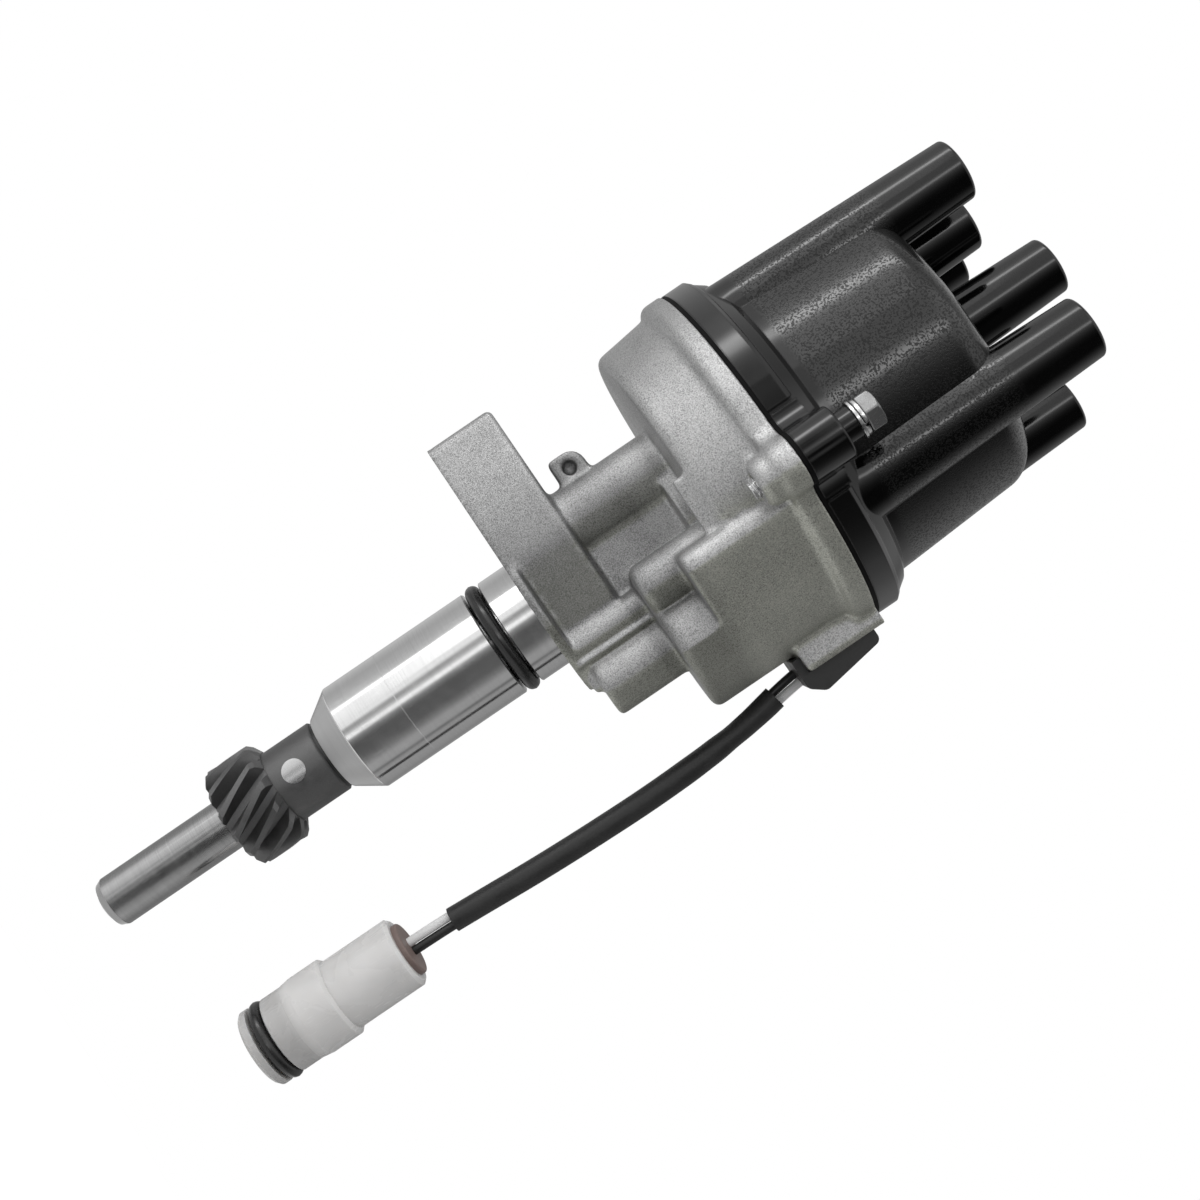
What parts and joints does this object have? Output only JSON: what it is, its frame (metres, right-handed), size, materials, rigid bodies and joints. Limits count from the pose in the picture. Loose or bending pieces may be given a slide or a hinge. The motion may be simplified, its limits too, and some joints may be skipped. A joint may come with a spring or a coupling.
{
  "type": "ignition distributor",
  "caption": "Gear-driven electronic ignition distributor with cast housing, moulded cap with lead towers, and a short pickup lead with a sealed plug.",
  "frame": {"origin": "on the shaft axis, in the plane where the flange seats on the engine block", "axes": "+Z along the shaft axis towards the cap; -Y the side with the neck's flat and one cap screw; +X the side with the lead grommet"},
  "size_m": [0.1018, 0.1062, 0.2634],
  "materials": {
    "cast_aluminium": "sand textured die casting, barrel turned bright",
    "seal_rubber": "satin black rubber",
    "bush_bronze": "sintered bronze",
    "bearing_steel": "polished",
    "zinc_steel": "bright zinc plate",
    "ground_steel": "ground",
    "gear_steel": "dark satin",
    "cap_plastic": "black moulding, grained walls and smooth towers",
    "contact_brass": "satin",
    "brush_carbon": "dull carbon",
    "white_insulation": "smooth",
    "black_insulation": "matt vinyl",
    "natural_nylon": "translucent natural nylon",
    "brown_seal": "silicone"
  },
  "bodies": {
    "housing_body": {"housing": "cast_aluminium", "barrel_o_ring": "seal_rubber", "lower_bush": "bush_bronze", "bearing_outer_race": "bearing_steel", "oil_seal": "seal_rubber", "bearing_retainer": "zinc_steel", "retainer_screws": "zinc_steel", "pickup_plate": "zinc_steel", "pickup_screws": "zinc_steel", "pickup_core": "gear_steel", "pickup_magnet": "gear_steel", "pickup_coil": "cap_plastic", "cap_gasket": "seal_rubber", "distributor_cap": "cap_plastic", "lead_tower_1": "cap_plastic", "lead_tower_2": "cap_plastic", "lead_tower_3": "cap_plastic", "lead_tower_4": "cap_plastic", "centre_tower": "cap_plastic", "vent_tower": "cap_plastic", "cap_lug_near": "cap_plastic", "cap_lug_far": "cap_plastic", "brush_spring": "zinc_steel", "centre_terminal": "contact_brass", "side_terminal_1": "contact_brass", "side_terminal_2": "contact_brass", "side_terminal_3": "contact_brass", "side_terminal_4": "contact_brass", "cap_screw_near": "zinc_steel", "cap_screw_far": "zinc_steel", "plain_washer_near": "zinc_steel", "plain_washer_far": "zinc_steel", "spring_washer_near": "zinc_steel", "spring_washer_far": "zinc_steel", "lead_grommet": "seal_rubber", "wire_white": "white_insulation", "wire_black": "black_insulation", "wire_sleeve": "black_insulation", "plug_housing": "natural_nylon", "plug_o_ring": "seal_rubber", "plug_rear_seal": "brown_seal", "plug_pins": "contact_brass"},
    "shaft_body": {"shaft": "ground_steel", "drive_gear": "gear_steel", "gear_pin": "ground_steel", "thrust_washer": "ground_steel", "bearing_inner_race": "bearing_steel", "signal_rotor": "gear_steel", "rotor_arm": "cap_plastic", "rotor_electrode": "contact_brass"},
    "cage_body": {"bearing_cage": "bush_bronze", "bearing_balls": "bearing_steel"},
    "brush_body": {"carbon_brush": "brush_carbon"}
  },
  "joints": [
    {"name": "shaft_spin", "type": "hinge", "parent": "housing_body", "child": "shaft_body", "pos_m": [0, 0, 0], "axis": [0, 0, 1], "continuous": true},
    {"name": "cage_spin", "type": "hinge", "parent": "housing_body", "child": "cage_body", "pos_m": [0, 0, 0.05], "axis": [0, 0, 1], "continuous": true},
    {"name": "brush_slide", "type": "slide", "parent": "housing_body", "child": "brush_body", "axis": [0, 0, 1], "range_m": [0, 0.0015], "stiffness_N_per_m": 250, "springref_m": -0.004, "deforming": ["brush_spring"]}
  ],
  "couplings": [
    {"joint": "cage_spin", "follows": "shaft_spin", "ratio": 0.38}
  ]
}
